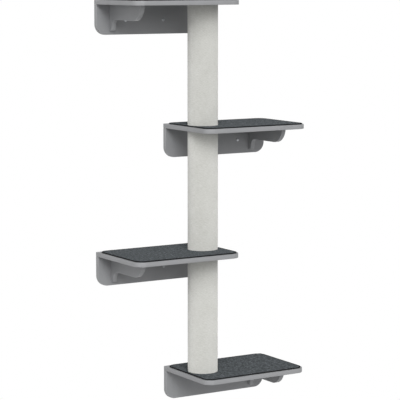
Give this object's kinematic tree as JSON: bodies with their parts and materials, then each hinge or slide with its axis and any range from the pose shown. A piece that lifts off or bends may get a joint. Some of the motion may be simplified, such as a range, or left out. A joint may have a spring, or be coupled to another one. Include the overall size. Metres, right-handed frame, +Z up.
{
  "type": "wall-mounted cat tree",
  "caption": "Wall-mounted cat tree: carpeted board perches on one line of sisal posts, reaching right and left by turns, each with a wall plate and a stepped bracket.",
  "frame": {"origin": "on the wall plane, on the posts' axis seen from the front, at mid-thickness of the lowest shelf: the middle height of that shelf's rear edge", "axes": "+X right along the wall as seen from the room, +Y into the wall, +Z up along the posts"},
  "size_m": [0.656, 0.3147, 1.3618],
  "materials": {
    "grey_board": "light grey melamine face and edge band, satin",
    "charcoal_carpet": "short looped pile with a black bound edge, matt",
    "sisal": "woven sisal, pale grey beige, matt",
    "core_card": "wound card tube, matt",
    "black_plastic": "moulded, matt",
    "zinc_steel": "zinc plated",
    "beech": "fluted dowel, bare"
  },
  "bodies": {
    "root": {"shelf_board_1": "grey_board", "shelf_board_2": "grey_board", "shelf_board_3": "grey_board", "shelf_board_4": "grey_board", "wall_plate_1": "grey_board", "wall_plate_2": "grey_board", "wall_plate_3": "grey_board", "wall_plate_4": "grey_board", "bracket_1": "grey_board", "bracket_2": "grey_board", "bracket_3": "grey_board", "bracket_4": "grey_board", "mat_1": "charcoal_carpet", "mat_2": "charcoal_carpet", "mat_3": "charcoal_carpet", "mat_4": "charcoal_carpet", "sisal_sleeve_1": "sisal", "sisal_sleeve_2": "sisal", "sisal_sleeve_3": "sisal", "core_tube_1": "core_card", "core_tube_2": "core_card", "core_tube_3": "core_card", "post_plug_top_1": "black_plastic", "post_plug_top_2": "black_plastic", "post_plug_top_3": "black_plastic", "post_plug_foot_1": "black_plastic", "post_plug_foot_2": "black_plastic", "post_plug_foot_3": "black_plastic", "foot_bolt": "zinc_steel", "post_stud_2": "zinc_steel", "post_stud_3": "zinc_steel", "top_bolt": "zinc_steel", "wall_screw_1_1": "zinc_steel", "wall_screw_1_2": "zinc_steel", "wall_screw_2_1": "zinc_steel", "wall_screw_2_2": "zinc_steel", "wall_screw_3_1": "zinc_steel", "wall_screw_3_2": "zinc_steel", "wall_screw_4_1": "zinc_steel", "wall_screw_4_2": "zinc_steel", "arm_screw_1_1": "zinc_steel", "arm_screw_1_2": "zinc_steel", "arm_screw_2_1": "zinc_steel", "arm_screw_2_2": "zinc_steel", "arm_screw_3_1": "zinc_steel", "arm_screw_3_2": "zinc_steel", "arm_screw_4_1": "zinc_steel", "arm_screw_4_2": "zinc_steel", "leg_screw_1": "zinc_steel", "leg_screw_2": "zinc_steel", "leg_screw_3": "zinc_steel", "leg_screw_4": "zinc_steel", "dowel_1_1": "beech", "dowel_1_2": "beech", "dowel_2_1": "beech", "dowel_2_2": "beech", "dowel_3_1": "beech", "dowel_3_2": "beech", "dowel_4_1": "beech", "dowel_4_2": "beech"}
  },
  "joints": []
}
